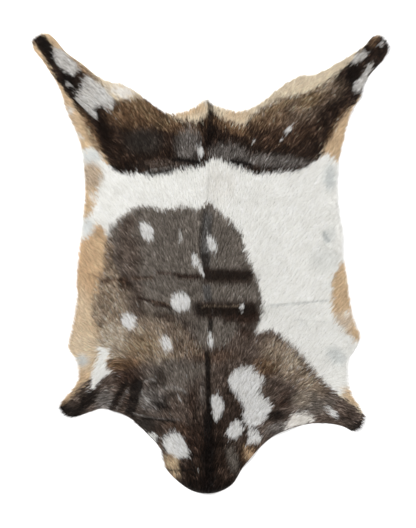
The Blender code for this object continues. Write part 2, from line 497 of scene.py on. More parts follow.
RUMP_PATCHES = table_of(
    Patch,
    ("left leg strip", "tan", 8, (
        (-380, 480), (-322, 480), (-300, 440), (-270, 412), (-244, 384), (-200, 300), (-196, 196),
        (-300, 190), (-400, 400),
    )),
    ("right leg strip", "tan", 8, (
        (226, 196), (224, 240), (262, 300), (300, 350), (330, 400), (320, 446), (340, 480),
        (400, 420), (300, 190),
    )),
    ("left thigh", "black brown", 5, (
        (-108, 310), (-132, 327), (-156, 328), (-172, 325), (-188, 324), (-206, 338), (-226, 358),
        (-242, 374), (-262, 390), (-284, 408), (-304, 426), (-318, 440), (-334, 456), (-356, 450),
        (-347, 432), (-336, 416), (-326, 400), (-316, 380), (-304, 360), (-292, 344), (-281, 328),
        (-269, 311), (-257, 295), (-246, 278), (-237, 259), (-227, 240), (-218, 224), (-208, 206),
        (-180, 160), (-90, 170),
    )),
    ("rump", "black brown", 8, (
        (-132, 332), (-100, 308), (-84, 301), (-68, 293), (-50, 286), (-22, 286), (-10, 293),
        (6, 303), (20, 291), (46, 279), (70, 275), (80, 292), (93, 301), (121, 312), (149, 322),
        (170, 250), (150, 160), (0, 160), (-150, 160),
    )),
    ("right thigh", "black brown", 10, (
        (93, 298), (121, 307), (149, 320), (169, 333), (197, 341), (213, 349), (229, 360),
        (249, 373), (264, 391), (280, 402), (298, 424), (314, 446), (330, 480), (380, 440),
        (356, 396), (326, 362), (300, 328), (281, 312), (266, 296), (254, 280), (245, 260),
        (233, 240), (225, 224), (215, 190), (160, 160), (100, 200),
    )),
)
RUMP_TINTS = table_of(
    Tint,
    ("left haunch", "brown", -146, 302, 54, 28, 0, 0.85),
    ("left haunch rim", "warm agouti", -132, 308, 34, 12, -38, 0.5),
    ("left haunch gold", "warm agouti", -90, 280, 20, 12, 0, 0.35),
    ("left shank rim", "brown", -250, 384, 52, 6, -40, 0.7),
    ("left hoof black", "black", -327, 430, 10, 34, 32, 1.0),
    ("left hock black", "black", -284, 366, 16, 22, 32, 0.95),
    ("left shin black", "black", -262, 316, 8, 40, 30, 0.6),
    ("left thigh black", "black", -217, 268, 12, 50, 24, 0.6),
    ("left thigh rim", "brown", -240, 262, 9, 46, 24, 0.6),
    ("right haunch", "grey brown", 154, 302, 60, 27, 14, 1.0),
    ("right haunch gold", "brown", 120, 286, 38, 16, 20, 0.7),
    ("right haunch rim", "warm agouti", 130, 311, 48, 8, 26, 0.7),
    ("right haunch flecks", "warm agouti", 208, 331, 38, 14, 28, 0.8),
    ("rump middle right", "dark brown", 152, 258, 62, 22, 10, 0.6),
    ("right shank", "grey brown", 246, 346, 28, 18, 40, 0.7),
    ("right shank rim", "agouti", 232, 354, 20, 8, 36, 0.7),
    ("right hock black", "black", 284, 376, 20, 14, 45, 0.9),
    ("right thigh rim", "brown", 252, 276, 7, 44, -30, 0.5),
    ("tail root left", "brown", -56, 271, 34, 12, -6, 0.75),
    ("tail root right", "brown", 44, 273, 36, 9, -24, 0.9),
    ("tail root", "brown", -1, 288, 10, 12, 0, 0.8),
    # Painted sheen: by the back and along the rim the dark hair lies flat and is drawn silver.
    ("silver by the back", "silver sheen", -46, 240, 22, 32, -8, 0.85),
    ("grey band", "silver sheen", 36, 224, 34, 15, 0, 0.85),
    ("grey rim", "silver sheen", 122, 205, 74, 12, -4, 0.75),
    ("smoky thigh", "smoke", -134, 244, 36, 24, 0, 0.9),
    ("belt grey", "dark saddle", -96, 198, 50, 9, 3, 0.8),
    ("belt black", "black", -160, 192, 50, 7, 0, 0.6),
)
print("rump:", len(RUMP_PATCHES), "patches,", len(RUMP_TINTS), "tints")

# %% White body and the tan of the flanks
BODY_PATCHES = table_of(
    Patch,
    ("white loin", "white", 3, (
        (-330, 222), (-262, 226), (-240, 232), (-228, 224), (-210, 202), (-190, 186), (-176, 181),
        (-148, 182), (-124, 179), (-100, 181), (-64, 189), (-14, 199), (-2, 209), (12, 209),
        (30, 203), (60, 193), (88, 180), (118, 181), (150, 184), (178, 187), (207, 202), (232, 219),
        (246, 212), (262, 198), (330, 190), (330, -20), (-330, -20),
    )),
    ("white side", "white", 3, (
        (60, 60), (330, 60), (330, -150), (330, -236), (290, -240), (262, -264), (60, -264),
    )),
    ("left loin tan", "tan", 6, (
        (-300, 196), (-251, 195), (-226, 194), (-219, 181), (-222, 164), (-228, 143), (-233, 117),
        (-242, 99), (-253, 90), (-300, 92),
    )),
    ("left rib tan", "warm tan", 5, (
        (-300, 50), (-257, 48), (-248, 52), (-235, 63), (-233, 79), (-220, 77), (-213, 65),
        (-206, 50), (-180, 0), (-180, -240), (-300, -300), (-320, -160),
    )),
    ("right rib tan", "tan", 5, (
        (310, 4), (265, 4), (256, -13), (247, -24), (243, -42), (245, -64), (247, -82), (246, -97),
        (254, -113), (266, -129), (282, -144), (300, -157), (320, -150),
    )),
)
BODY_TINTS = table_of(
    Tint,
    ("right loin shade", "blue white", 240, 172, 13, 26, 0, 0.9),
    ("right waist shade", "blue white", 238, 56, 12, 18, -20, 0.5),
    ("right waist low shade", "blue white", 228, 8, 26, 24, 0, 0.35),
    ("right rib shade", "blue white", 253, -184, 22, 15, -40, 0.8),
    ("left loin shade", "blue white", -238, 214, 18, 13, 0, 0.9),
    ("left waist shade", "blue white", -244, 74, 14, 14, 0, 0.9),
    ("loin by the back", "warm white", 20, 160, 34, 40, 0, 0.35),
    ("left loin grey", "grey tan", -240, 176, 24, 26, 0, 0.85),
    ("left loin fleck", "warm white", -238, 134, 5, 9, 8, 0.8),
    ("left side glow", "tan", -226, 24, 20, 44, 0, 0.5),
    ("left rib dark", "brown", -222, -25, 34, 5, 0, 0.3),
    ("left rib low", "pale tan", -260, -110, 30, 60, 0, 0.5),
    ("left elbow", "pale tan", -248, -182, 46, 40, 0, 0.65),
    ("left elbow grey", "grey tan", -226, -158, 16, 26, 10, 0.35),
    ("left elbow low", "tan", -262, -252, 34, 20, 40, 0.9),
    ("left elbow spot", "blue white", -256, -194, 11, 13, 0, 0.9),
    ("right rib fleck", "warm white", 274, -101, 5, 8, 0, 0.95),
    ("right rib pale", "warm white", 268, -116, 18, 20, 20, 0.35),
    ("right foreleg tan", "tan", 284, -268, 10, 24, 39, 0.95),
)
print("body:", len(BODY_PATCHES), "patches,", len(BODY_TINTS), "tints")

# %% Saddle, shoulders and neck
SADDLE_PATCHES = table_of(
    Patch,
    ("left rib agouti", "agouti", 15, (
        (-190, 60), (-206, 42), (-211, 10), (-214, -16), (-226, -36), (-232, -60), (-234, -84),
        (-233, -104), (-224, -126), (-212, -142), (-206, -160), (-204, -180), (-206, -200),
        (-212, -220), (-180, -250), (60, -250), (60, 0), (-100, 40),
    )),
    ("saddle", "saddle", 3, (
        (-197, 58), (-190, 79), (-170, 99), (-150, 112), (-128, 115), (-98, 108), (-70, 111),
        (-48, 114), (-26, 111), (-12, 117), (-4, 126), (6, 114), (23, 100), (38, 89), (52, 71),
        (63, 56), (69, 36), (77, 11), (86, -13), (94, -32), (100, -57), (105, -79), (103, -102),
        (96, -117), (91, -131), (88, -170), (0, -180), (-80, -100), (-150, -60), (-192, 0),
    )),
    ("left shoulder", "dark saddle", 12, (
        (-232, -222), (-208, -204), (-160, -196), (-110, -196), (-60, -186), (0, -176), (60, -150),
        (60, -330), (-250, -350), (-330, -330), (-318, -304), (-300, -289), (-284, -273),
        (-264, -251), (-246, -237),
    )),
    ("shoulders", "dark saddle", 4, (
        (60, -130), (92, -141), (112, -134), (131, -137), (150, -153), (169, -170), (186, -187),
        (204, -209), (219, -226), (234, -241), (250, -257), (260, -266), (273, -272), (285, -280),
        (295, -290), (302, -300), (330, -312), (330, -360), (100, -470), (-110, -470),
        (-150, -330), (-60, -290), (0, -240),
    )),
)
SADDLE_TINTS = table_of(
    Tint,
    ("saddle left side", "dark saddle", -166, 16, 28, 52, 0, 0.9),
    ("saddle upper left", "dark saddle", -166, 76, 13, 24, -40, 0.9),
    ("saddle left rim", "grey brown", -204, 18, 8, 52, -6, 0.8),
    ("saddle below", "saddle", -90, -70, 72, 44, 0, 0.9),
    ("saddle below left", "dark saddle", -148, -72, 16, 44, 0, 0.85),
    ("saddle low", "saddle", -44, -210, 40, 20, 0, 0.7),
    ("saddle end", "dark brown", -52, -166, 40, 14, 0, 0.6),
    ("left rib dark block", "red black", -171, -40, 15, 14, 0, 0.9),
    ("left rib brown", "brown", -214, -70, 14, 30, 4, 0.25),
    ("left rib pale", "light agouti", -192, -150, 32, 28, 20, 0.95),
    ("left rib soft rim", "agouti", -222, -96, 14, 34, 4, 0.7),
    ("left rib grey", "dark saddle", -62, -132, 32, 34, 0, 0.6),
    ("left rib red one", "red black", -90, -106, 22, 9, -8, 0.7),
    ("left rib red two", "red black", -50, -124, 8, 14, 10, 0.4),
    ("left rib red three", "red black", -136, -100, 14, 7, 0, 0.5),
    ("left rib red four", "red black", -86, -128, 12, 7, 20, 0.5),
    ("left rib wave", "red black", -38, -142, 18, 5, -42, 0.5),
    ("left shoulder agouti", "warm agouti", -140, -164, 38, 24, 10, 0.7),
    ("left shoulder brown", "brown", -176, -200, 40, 14, 10, 0.9),
    ("left shoulder grey", "saddle", -84, -226, 44, 30, 0, 0.8),
    ("left shoulder low", "red black", -166, -228, 26, 20, 14, 0.85),
    ("left foreleg between", "red black", -176, -270, 14, 26, -24, 0.6),
    ("left shoulder wave", "red black", -150, -236, 18, 7, -34, 0.6),
    ("left shoulder wave low", "black brown", -104, -216, 14, 7, 24, 0.5),
    # The silver sheen tints on the shoulders and along the back are painted sheen on dark hair.
    ("left shoulder silver", "silver sheen", -118, -272, 28, 24, 10, 0.9),
    ("left shoulder dark one", "black brown", -98, -232, 11, 9, 0, 0.75),
    ("left shoulder dark two", "black brown", -114, -238, 9, 7, 0, 0.6),
    ("left shoulder hole", "black", -97, -284, 15, 8, -10, 0.95),
    ("left throat hole", "black", -118, -287, 6, 4, 0, 0.8),
    ("left foreleg grey", "silver sheen", -213, -274, 16, 22, -20, 1.0),
    ("left foreleg dark", "black", -247, -275, 12, 36, -37, 0.9),
    ("left fore hoof", "black", -284, -302, 34, 18, -30, 0.9),
    ("left hoof brown", "brown", -278, -268, 18, 4, 42, 0.4),
    ("left throat black", "smoke", -130, -318, 26, 16, -30, 0.95),
    ("back dark left", "black brown", -36, -280, 11, 34, 0, 0.9),
    ("back silver", "silver sheen", -15, -256, 6, 24, 0, 0.5),
    ("between the shoulders", "dark brown", 0, -184, 56, 14, 0, 0.65),
    ("red black behind fold", "red black", 72, -128, 20, 22, 0, 0.75),
    ("right shoulder agouti", "agouti", 148, -192, 48, 27, -42, 1.0),
    ("right shoulder pale", "light agouti", 164, -190, 26, 9, -42, 0.6),
    ("right shoulder brown", "brown", 112, -206, 28, 18, 0, 0.8),
    ("right shoulder side", "agouti", 200, -244, 20, 32, 44, 0.95),
    ("right shoulder grey", "saddle", 194, -274, 27, 22, 0, 0.9),
    ("right shoulder light", "light agouti", 186, -272, 18, 14, 0, 0.4),
    ("dark wave one", "red black", 130, -246, 17, 8, 20, 0.4),
    ("dark wave two", "red black", 150, -259, 14, 6, 10, 0.7),
    ("dark wave three", "red black", 144, -279, 17, 10, 0, 0.8),
    ("right shoulder low", "saddle", 226, -284, 30, 14, 34, 0.6),
    ("right foreleg brown", "black brown", 270, -306, 24, 14, 24, 0.5),
    ("right shoulder silver", "silver sheen", 134, -330, 22, 12, 20, 0.8),
    ("right shoulder black", "black", 134, -303, 18, 11, 0, 0.9),
    ("right fore hoof", "black", 298, -330, 28, 16, 0, 0.8),
    ("neck", "black brown", 2, -410, 92, 66, 0, 0.95),
    ("neck top", "black brown", -4, -328, 38, 36, 0, 0.85),
    ("neck end", "black", -6, -446, 60, 18, 0, 0.7),
    ("neck middle", "black", -4, -380, 15, 94, 0, 0.85),
    ("neck left", "red black", -50, -352, 34, 30, 0, 0.7),
    ("neck left brown", "dark brown", -68, -326, 26, 10, -10, 0.7),
    ("neck left rim", "black brown", -104, -340, 12, 16, 30, 0.8),
    ("neck right", "brown", 80, -378, 20, 22, 0, 0.7),
    ("between the lobes", "black brown", 48, -300, 36, 64, 0, 0.75),
)
print("saddle:", len(SADDLE_PATCHES), "patches,", len(SADDLE_TINTS), "tints")

# %% White and tan markings on the dark coat
MARK_PATCHES = table_of(
    Patch,
    ("left hock white", "leg white", 3, (
        (-314, 430), (-304, 430), (-285, 415), (-266, 399), (-265, 387), (-276, 378), (-290, 382),
        (-305, 396), (-313, 410),
    )),
    ("left thigh white", "leg white", 3, (
        (-255, 366), (-246, 376), (-228, 363), (-207, 345), (-191, 323), (-195, 311), (-205, 307),
        (-215, 313), (-226, 318), (-233, 306), (-227, 293), (-232, 289), (-242, 300), (-254, 312),
        (-265, 324), (-270, 338), (-264, 347), (-258, 355),
    )),
    ("left rump white", "warm white", 4, (
        (-204, 350), (-188, 356), (-168, 354), (-157, 346), (-156, 337), (-172, 333), (-188, 338),
        (-198, 342),
    )),
    ("right hock white", "leg white", 3, (
        (283, 398), (285, 410), (301, 422), (309, 426), (315, 416), (309, 408), (297, 402),
    )),
    ("right shin white", "leg white", 3, (
        (319, 400), (325, 394), (321, 382), (312, 364), (301, 343), (293, 341), (287, 353),
        (294, 365), (303, 376), (310, 384), (313, 394),
    )),
    ("left elbow white", "white", 4, (
        (-227, -168), (-216, -166), (-204, -173), (-207, -190), (-210, -207), (-198, -217),
        (-211, -228), (-225, -241), (-242, -258), (-236, -236), (-239, -217), (-230, -200),
        (-227, -185),
    )),
    ("throat white one", "spot white", 3, (
        (37, -233), (45, -217), (59, -207), (75, -205), (87, -209), (99, -221), (109, -233),
        (103, -245), (96, -253), (107, -265), (119, -277), (125, -289), (111, -309), (107, -317),
        (92, -324), (76, -323), (68, -311), (64, -301), (68, -289), (62, -275), (51, -261),
        (41, -247),
    )),
    ("throat white two", "spot white", 3, (
        (33, -343), (36, -328), (47, -315), (57, -313), (65, -323), (68, -333), (55, -346),
        (41, -351),
    )),
    ("throat white three", "spot white", 3, (
        (73, -333), (85, -329), (95, -337), (103, -347), (99, -357), (87, -359), (73, -361),
        (77, -349),
    )),
    ("throat white four", "spot white", 3, (
        (1, -269), (9, -261), (21, -266), (27, -285), (26, -296), (16, -308), (12, -316),
        (5, -301),
    )),
    ("neck white", "spot white", 3, (
        (-95, -350), (-83, -340), (-67, -338), (-56, -348), (-46, -363), (-43, -383), (-57, -389),
        (-72, -388), (-88, -374), (-95, -361),
    )),
    ("right throat white", "warm white", 7, (
        (145, -329), (155, -317), (167, -301), (179, -297), (195, -299), (207, -311), (209, -319),
        (187, -321), (163, -329),
    )),
    ("right knee white", "spot white", 3, (
        (235, -285), (245, -289), (255, -305), (255, -311), (245, -305), (235, -295),
    )),
    ("spine fleck", "spot white", 3, (
        (-4, -133), (0, -138), (4, -152), (7, -165), (1, -170), (-3, -163), (-4, -148),
    )),
)
Spot = namedtuple("Spot", "name tone edge x y wide long turn")
SPOTS = table_of(
    Spot,
    ("saddle one", "spot white", 4, -127, 65, 13, 19, 25),
    ("saddle two", "leg white", 4, -60, 54, 4, 8, 0),
    ("saddle three", "spot white", 4, 3, 40, 9, 16, 25),
    ("saddle four", "spot white", 4, -29, 6, 7, 12, 20),
    ("saddle five", "spot white", 3, -18, -13, 4, 12, 18),
    ("fold spot", "spot white", 4, -59, -77, 20, 19, 0),
    ("left rib spot", "spot white", 4, -164, -114, 15, 17, 25),
    ("left rib small spot", "spot white", 4, -88, -160, 10, 15, 25),
    ("fold fleck", "spot white", 3, 63, -88, 5, 6, 0),
    ("left hind fleck", "leg white", 3, -283, 357, 5, 5, 0),
    ("left rim spot one", "warm white", 6, -281, 305, 6, 8, 20),
    ("left rim spot two", "warm white", 6, -262, 255, 4, 8, 10),
    ("right haunch star", "spot white", 5, 157, 268, 5, 9, -50),
    ("right haunch streak", "spot white", 3, 143, 247, 2, 6, -36),
    ("right haunch fleck", "leg white", 3, 87, 244, 2.5, 4, 0),
    ("rump spot", "spot white", 4, -20, 224, 6, 10, 0),
    ("right hoof fleck", "spot white", 3, 343, 438, 4, 8, -20),
    ("left throat wisps", "leg white", 6, -126, -275, 4, 5, 0),
    ("left shoulder fleck", "leg white", 2, -62, -268, 1.5, 9, 28),
    ("left throat fleck", "white", 3, -115, -344, 10, 5, -20),
    ("neck fleck", "spot white", 2, -24, -411, 1.4, 3, 20),
)
RIM_TINTS = table_of(
    Tint,
    ("left neck tan", "tan", -79, -396, 14, 14, -24, 0.85),
    ("left neck low tan", "tan", -72, -418, 10, 11, -34, 0.9),
    ("right neck tan", "warm tan", 86, -388, 8, 25, 38, 0.95),
    ("right neck grey", "saddle", 45, -390, 10, 24, 16, 0.9),
    ("right hoof brown", "brown", 326, 442, 7, 11, -20, 0.8),
    ("right hoof tan", "tan", 335, 455, 5, 4, 0, 0.8),
    ("rump tan left", "tan", -44, 308, 38, 11, 10, 0.95),
    ("rump tan right", "tan", 54, 298, 26, 12, 0, 0.6),
    ("tail tip", "leg white", -7, 325, 5, 7, -20, 0.8),
    ("left thigh light", "spot white", -216, 336, 14, 14, 0, 0.6),
    ("left leg grey", "grey tan", -282, 290, 14, 40, 20, 0.4),
)
print("markings:", len(MARK_PATCHES) + len(SPOTS), "patches and spots")

# %% [markdown]
# ## Creases
#
# A folded skin keeps the lines of its folds. Across them the hair parts or stands on end and
# turns from the light, so they show as dark bands with a thin light edge, more than as steps.
# The dark bands are partly the dark roots of the parted hair and partly painted shade, and the
# thin light lines on the ridges and curls are painted highlights. Each is a soft curve through
# three places that fades towards its ends.

# %% Creases in the coat
# Columns: name, tone, three places on the line, how far it reaches to a side, how strongly it
# colours the coat with its painted shade or highlight, and how far it raises it.
Crease = namedtuple("Crease", "name tone x1 y1 x2 y2 x3 y3 reach share lift")
CREASES = table_of(
    Crease,
    ("tail line", "black", 0, 330, 0, 280, -3, 226, 6, 0.8, -0.6),
    ("loin line", "crease shade grey", -4, 208, -4, 160, -6, 122, 3, 0.22, 0.6),
    ("saddle band", "blue grey", -2, 110, -9, 40, -7, -12, 9, 0.6, 0.0),
    ("saddle line", "black", -4, 117, -19, 60, -15, 0, 4, 0.6, -0.8),
    ("saddle dark", "fold shade black", -10, 22, -9, 0, -8, -30, 7, 0.8, -0.6),
    ("saddle band low", "blue grey", -7, -40, -6, -60, -4, -78, 8, 0.6, 0.0),
    ("back line", "black", -1, -100, 1, -118, -1, -138, 5, 0.85, -0.8),
    ("back line low", "black", -7, -164, -4, -240, -2, -340, 5, 0.9, -0.8),
    ("neck line", "black", -5, -290, -3, -380, 0, -462, 8, 0.7, -0.4),
    ("loin fold right soft", "fold shade red", -20, -25, 34, -25, 90, -28, 16, 0.8, 0.0),
    ("loin fold right", "fold shade black", -18, -23, 34, -23, 90, -25, 10, 0.9, -1.2),
    ("loin fold left", "fold shade red", -14, -25, -44, -26, -72, -22, 6, 0.95, -1.0),
    ("loin fold left end", "red black", -64, -23, -88, -18, -112, -20, 3.5, 0.8, -0.8),
    ("loin fold far left", "dark brown", -112, -27, -134, -29, -160, -28, 4, 0.7, -0.6),
    ("loin fold end", "dark brown", -168, -33, -196, -33, -222, -36, 5, 0.8, -0.6),
    ("rib fold right low", "fold shade red", 20, -104, 66, -107, 102, -104, 13, 0.85, 0.0),
    ("rib fold right soft", "fold shade red", -38, -91, 30, -92, 100, -91, 18, 0.85, 0.0),
    ("rib fold right", "fold shade black", -38, -91, 30, -92, 100, -91, 11, 0.9, -1.2),
    ("rib fold edge", "agouti", 2, -84, 30, -85, 60, -84, 1.8, 0.4, 1.6),
    ("rib fold hook", "agouti", -18, -90, -10, -84, 4, -85, 1.8, 0.4, 1.6),
    ("rib fold left", "red black", -150, -66, -122, -74, -84, -80, 3.5, 0.95, -1.0),
    ("rib fold left light", "agouti", -118, -78, -98, -79, -80, -83, 1.6, 0.6, 1.2),
    ("rib fold left low", "red black", -116, -82, -96, -83, -76, -89, 4.5, 0.9, -0.6),
    ("rib fold on white", "crease shade grey", 107, -84, 170, -79, 244, -73, 2.2, 0.6, -1.0),
    ("side crease", "crease shade grey", 160, -111, 204, -115, 240, -118, 2.2, 0.3, -0.8),
    ("waist hollow", "crease shade grey", 227, 66, 232, 54, 240, 42, 4, 0.8, -0.8),
    ("waist ridge", "white", 223, 60, 228, 38, 242, 30, 2.5, 0.8, 1.6),
    ("waist ridge low", "white", 240, 31, 250, 26, 257, 15, 2.5, 0.8, 1.6),
    ("rump slit left", "black", -80, 208, -50, 206, -16, 199, 5, 1.0, -1.4),
    ("rump slit light", "silver sheen", -130, 186, -98, 190, -62, 196, 2, 0.7, 0.6),
    ("rump slit low", "black", -126, 180, -100, 182, -70, 188, 4, 0.8, -0.8),
    ("rump slit right", "black", 36, 206, 60, 202, 88, 196, 4, 1.0, -1.4),
    ("left foreleg outer", "black", -164, -232, -184, -262, -204, -304, 6, 0.8, -0.6),
    ("left foreleg light", "silver sheen", -162, -246, -176, -270, -192, -300, 3, 0.5, 0.4),
    ("left foreleg inner", "black", -144, -228, -151, -262, -165, -312, 12, 0.9, -0.4),
    ("left shoulder wave one", "smoke", -146, -241, -128, -247, -108, -240, 4, 0.55, -0.4),
    ("left shoulder wave two", "smoke", -112, -262, -92, -267, -66, -258, 4, 0.5, -0.4),
    ("left shoulder curl one", "leg white", -138, -253, -133, -265, -120, -271, 2.4, 0.4, 0.8),
    ("left shoulder curl two", "leg white", -133, -238, -120, -231, -108, -236, 2.2, 0.3, 0.6),
    ("left shoulder curl three", "leg white", -97, -252, -73, -247, -45, -260, 2.6, 0.3, 0.6),
    ("throat line left", "black", -130, -310, -100, -312, -64, -318, 3, 0.8, -0.8),
    ("throat line light", "silver sheen", -158, -299, -116, -307, -56, -312, 2, 0.8, 0.8),
    ("neck crease", "black", -92, -412, -60, -413, -22, -412, 2, 0.9, -1.0),
)
CREASE_PIECES = 12
CREASE_PAST = 1.4
CREASE_SOFTNESS = 0.8
END_FADE = 7.0
END_SHARE = 0.15


def curve_through(row):
    """Places on the arc through a row's three places."""
    t = np.linspace(0, 1, CREASE_PIECES + 1)[:, None]
    start, middle, end = np.array(((row.x1, row.y1), (row.x2, row.y2), (row.x3, row.y3)), float)
    pull = 2 * middle - (start + end) / 2
    return start * (1 - t) ** 2 + pull * 2 * t * (1 - t) + end * t**2


def crease_weight(x, y, row):
    """How strongly a crease shows at each place: full on its line, none well past its reach."""
    weight = np.zeros(len(x))
    path = curve_through(row)
    near = near_line(x, y, path, 2 * row.reach)
    closest = np.full(len(near), np.inf)
    place = np.zeros(len(near))
    for i, (start, end) in enumerate(zip(path, path[1:])):
        square, along = from_segment(x[near], y[near], start, end)
        place = np.where(square < closest, (i + along) / (len(path) - 1), place)
        closest = np.minimum(closest, square)
    fade = ease(np.minimum(place, 1 - place) * END_FADE + END_SHARE)
    weight[near] = fade * ease((CREASE_PAST - np.sqrt(closest) / row.reach) / CREASE_SOFTNESS)
    return weight


def crease_lift(x, y):
    """How far the creases raise the coat, or press it down where the lift is negative."""
    return sum(row.lift * crease_weight(x, y, row) for row in CREASES)


print("creases:", len(CREASES))

# %% [markdown]
# ## Painting the map
#
# Every hair gets its colour by asking the map at a place partway along itself, because that
# is where it shows. Hairs that stand close together ask at nearly the same place, so a
# marking ends in small points that follow the lay, as on the real coat. Inside a patch's
# edge strip each hair is either one colour or the other.

# %% Paint functions
GROUND = "pale tan"
LAYERS = (
    (RUMP_PATCHES, RUMP_TINTS),
    (BODY_PATCHES, BODY_TINTS),
    (SADDLE_PATCHES, SADDLE_TINTS),
    (MARK_PATCHES, RIM_TINTS),
)
TINT_PAST = 1.5
EVEN_PICK = 0.5


def oval_distance(x, y, row):
    """Distance from an oval's outline in shares of its size: 1 on it, less inside."""
    turn = np.radians(row.turn)
    across = (x - row.x) * np.cos(turn) + (y - row.y) * np.sin(turn)
    along = (y - row.y) * np.cos(turn) - (x - row.x) * np.sin(turn)
    return np.hypot(across / row.wide, along / row.long)


def mix(colour, row, weight):
    """Moves the colours towards a row's tone, in place."""
    colour += (tone(row.tone) - colour) * weight[:, None]


def mark(colour, row, inside, pick):
    """Gives a row's tone to the hairs inside its outline, and to some in its edge strip."""
    mix(colour, row, (ease(0.5 + inside / row.edge / 2) > pick).astype(float))


def paint(x, y, pick, seen_x, seen_y):
    """Colour and mottle of hairs whose roots belong at x, y, and that show at seen_x, seen_y."""
    colour = np.tile(tone(GROUND), (len(x), 1))
    for patches, tints in LAYERS:
        for patch in patches:
            inside = distance_inside(x, y, smooth_loop(patch.corners), 2 * patch.edge)
            mark(colour, patch, inside, pick)
        for tint in tints:
            mix(colour, tint, tint.share * ease(TINT_PAST - oval_distance(x, y, tint)))
    # Creases paint shade into their folds and highlights onto their light edges.
    for crease in CREASES:
        mix(colour, crease, crease.share * crease_weight(seen_x, seen_y, crease))
    for spot in SPOTS:
        inside = (1 - oval_distance(x, y, spot)) * (spot.wide + spot.long) / 2
        mark(colour, spot, inside, pick)
    return colour


saddle_place = np.array([[-60.0], [80.0]])
saddle_look = paint(*saddle_place, np.array([EVEN_PICK]), *saddle_place)
print("middle of the saddle:", saddle_look.round(2))

# %% [markdown]
# ## The hide
#
# The leather is one thin sheet. It could be a subdivided plane that is cut out, but a
# triangle mesh that starts from the outline follows the legs and the hooves without steps.
# Its edge lies a little inside the solid's, because the hair hangs over it, and more where
# the hair points outwards. Top and underside are the same triangles, joined by a rim wall.

# %% Edge of the leather
OVERHANG = 0.7
OVERHANG_ALONG_LAY = 4.3
CLEAR_SHARE = 0.85
HIDE_STEP = 5.5


def outward(loop):
    """Unit directions out of an anticlockwise loop, at each of its places."""
    tangent = np.roll(loop, -1, axis=0) - np.roll(loop, 1, axis=0)
    tangent /= np.linalg.norm(tangent, axis=1)[:, None]
    return np.column_stack((tangent[:, 1], -tangent[:, 0]))


def leather_edge():
    """The rim moved inwards. Places that cross over in a narrow corner are left out."""
    loop = smooth_loop(rim, HIDE_STEP)
    out = outward(loop)
    lay_x, lay_y = lay_at(*loop.T)
    outwards = np.maximum(0, out[:, 0] * lay_x + out[:, 1] * lay_y)
    overhang = OVERHANG + OVERHANG_ALONG_LAY * outwards
    inner = loop - out * overhang[:, None]
    return inner[distance_inside(*inner.T, rim) > CLEAR_SHARE * overhang]


edge_loop = leather_edge()
print("leather edge:", len(edge_loop), "points")

# %% Triangles of the sheet
HIDE_SEED = 3
CLOSEST = 0.6
SAME_PLACE = 1e-4


def hide_places():
    """Places over the whole sheet, none of them close to its edge."""
    places = hex_places(HIDE_STEP, np.random.default_rng(HIDE_SEED))
    return places[distance_inside(*places.T, edge_loop) > CLOSEST * HIDE_STEP]


def hide_mesh():
    """The closed sheet, its tint on each vertex, and which faces are the flesh side."""
    count = len(edge_loop)
    ring = [(i, (i + 1) % count) for i in range(count)]
    given = [Vector(place) for place in np.vstack((edge_loop, hide_places()))]
    places, _, faces, *_ = delaunay_2d_cdt(given, ring, [], 1, SAME_PLACE)
    x, y = np.array(places).T
    low = under.at(x, y)
    points = np.vstack([np.column_stack((x, y, z)) for z in (low + LEATHER, low)]) * MM
    shift = len(x)
    sides = {side for face in faces for side in zip(face, (*face[1:], face[0]))}
    under_faces = [tuple(i + shift for i in reversed(face)) for face in faces]
    walls = [(b, a, a + shift, b + shift) for a, b in sorted(sides) if (b, a) not in sides]
    mesh = bpy.data.meshes.new("hide")
    mesh.from_pydata(points.tolist(), [], [tuple(face) for face in faces] + under_faces + walls)
    mesh.update()
    tint = np.tile(paint(x, y, np.full(len(x), EVEN_PICK), x, y)[:, :3], (2, 1))
    tint = np.column_stack((tint, np.ones(len(tint)))).ravel()
    mesh.attributes.new("tint", "FLOAT_COLOR", "POINT").data.foreach_set("color", tint)
    flesh = np.array([0.0] * len(faces) + [1.0] * (len(faces) + len(walls)))
    mesh.attributes.new("flesh", "FLOAT", "FACE").data.foreach_set("value", flesh)
    return mesh


hide = bpy.data.objects.new("hide", hide_mesh())
bpy.context.scene.collection.objects.link(hide)
hide.data.shade_smooth()
print("hide:", len(hide.data.vertices), "vertices,", len(hide.data.polygons), "faces")

# %% [markdown]
# ## Leather material
#
# Under the hair the leather takes the coat's colour, darkened as painted shade deep under the
# hair. The flesh side is pale suede: creamy, blotchy, a little bluish where dark roots shine
# through, with a fine nap. Blotches and nap are noise on Object coordinates, so they sit still
# on the sheet.

# %% Hide material
CREAM = (0.62, 0.54, 0.43, 1.0)
SMOKE = (0.40, 0.37, 0.35, 1.0)
DEEP_SHADE = (0.05, 0.045, 0.04, 1.0)
NAP_COLOUR = (0.78, 0.72, 0.62, 1.0)
DOWN_SHADE = 0.35
TINT_THROUGH = 0.18
BLOTCH_SCALE = 14.0
BLOTCH_DETAIL = 3.0
BLOTCH_RANGE = (0.35, 0.7)
NAP_SCALE = 900.0
NAP_DETAIL = 2.0
NAP_RANGE = (0.3, 0.75)
NAP_SHARE = 0.35
NAP_BUMP = 0.5
NAP_HEIGHT = 0.4 * MM
SUEDE_ROUGHNESS = (0.78, 0.95)
# The mixing node has one set of sockets for each kind of value. These are the ones for colours.
COLOUR_INPUTS = (0, 6, 7)
COLOUR_OUTPUT = 2


def fill(tree, socket, value):
    """Links a socket to another one, or gives it a plain value."""
    if isinstance(value, bpy.types.NodeSocket):
        tree.links.new(value, socket)
    else:
        socket.default_value = value


def add(tree, kind, **settings):
    """A new node, with the inputs and properties that settings name."""
    node = tree.nodes.new(kind)
    for name, value in settings.items():
        if name in node.inputs:
            fill(tree, node.inputs[name], value)
        else:
            setattr(node, name, value)
    return node


def attribute(tree, name, output):
    return add(tree, "ShaderNodeAttribute", attribute_name=name).outputs[output]


